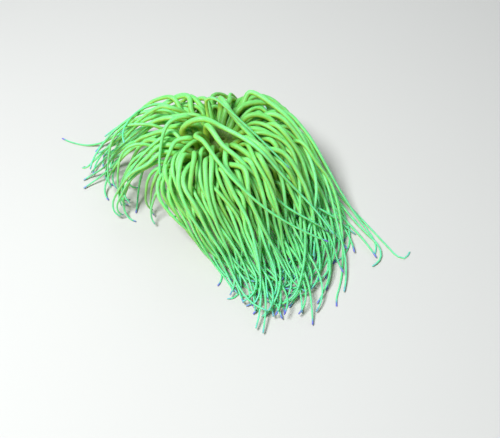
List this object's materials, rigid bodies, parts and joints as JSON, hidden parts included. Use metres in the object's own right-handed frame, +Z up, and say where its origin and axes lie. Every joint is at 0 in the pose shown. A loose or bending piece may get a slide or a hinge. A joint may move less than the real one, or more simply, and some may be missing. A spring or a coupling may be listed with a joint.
{
  "type": "sea anemone",
  "caption": "Life-size snakelocks anemone: a short column on a broad foot, a crown of long tapering tentacles swept to one side, and a slit mouth.",
  "frame": {"origin": "middle of the foot's underside, on the ground", "axes": "+Z up, out through the mouth; most tentacles trail towards +X and -Y, and a fan of shorter ones falls towards -X"},
  "size_m": [0.2592, 0.212, 0.085],
  "materials": {
    "tentacles": "soft wet flesh, yellow-green at the root, mint further out, violet at the tip",
    "column": "smooth moist flesh, olive brown with pale upright lines",
    "foot": "smooth moist flesh, olive brown",
    "oral_disc": "smooth moist flesh, dark olive with pale lines out from the mouth",
    "lips": "smooth moist flesh, pale olive folds"
  },
  "bodies": {
    "root": {"column": "column", "curtain_outer_base": "tentacles", "curtain_outer_middle": "tentacles", "curtain_outer_tip": "tentacles", "disc_crossing_base": "tentacles", "disc_crossing_middle": "tentacles", "disc_crossing_tip": "tentacles", "front_crossing_base": "tentacles", "front_crossing_middle": "tentacles", "front_crossing_tip": "tentacles", "front_thick_base": "tentacles", "front_thick_middle": "tentacles", "front_thick_tip": "tentacles", "inner_tentacles_1": "tentacles", "inner_tentacles_2": "tentacles", "inner_tentacles_3": "tentacles", "inner_tentacles_4": "tentacles", "inner_tentacles_5": "tentacles", "inner_tentacles_6": "tentacles", "inner_tentacles_7": "tentacles", "left_arched_base": "tentacles", "left_arched_tip": "tentacles", "left_hooked_base": "tentacles", "left_hooked_tip": "tentacles", "left_looped_base": "tentacles", "left_looped_tip": "tentacles", "left_reaching_base": "tentacles", "left_reaching_middle": "tentacles", "left_reaching_tip": "tentacles", "mouth": "lips", "oral_disc": "oral_disc", "outer_tentacles_1": "tentacles", "outer_tentacles_10": "tentacles", "outer_tentacles_11": "tentacles", "outer_tentacles_12": "tentacles", "outer_tentacles_13": "tentacles", "outer_tentacles_14": "tentacles", "outer_tentacles_15": "tentacles", "outer_tentacles_16": "tentacles", "outer_tentacles_2": "tentacles", "outer_tentacles_3": "tentacles", "outer_tentacles_4": "tentacles", "outer_tentacles_5": "tentacles", "outer_tentacles_6": "tentacles", "outer_tentacles_7": "tentacles", "outer_tentacles_8": "tentacles", "outer_tentacles_9": "tentacles", "pedal_disc": "foot", "right_farthest_base": "tentacles", "right_farthest_middle": "tentacles", "right_farthest_tip": "tentacles", "right_long_base": "tentacles", "right_long_middle": "tentacles", "right_long_tip": "tentacles", "right_turned_base": "tentacles", "right_turned_middle": "tentacles", "right_turned_tip": "tentacles", "top_arched_base": "tentacles", "top_arched_middle": "tentacles", "top_arched_tip": "tentacles"}
  },
  "joints": []
}
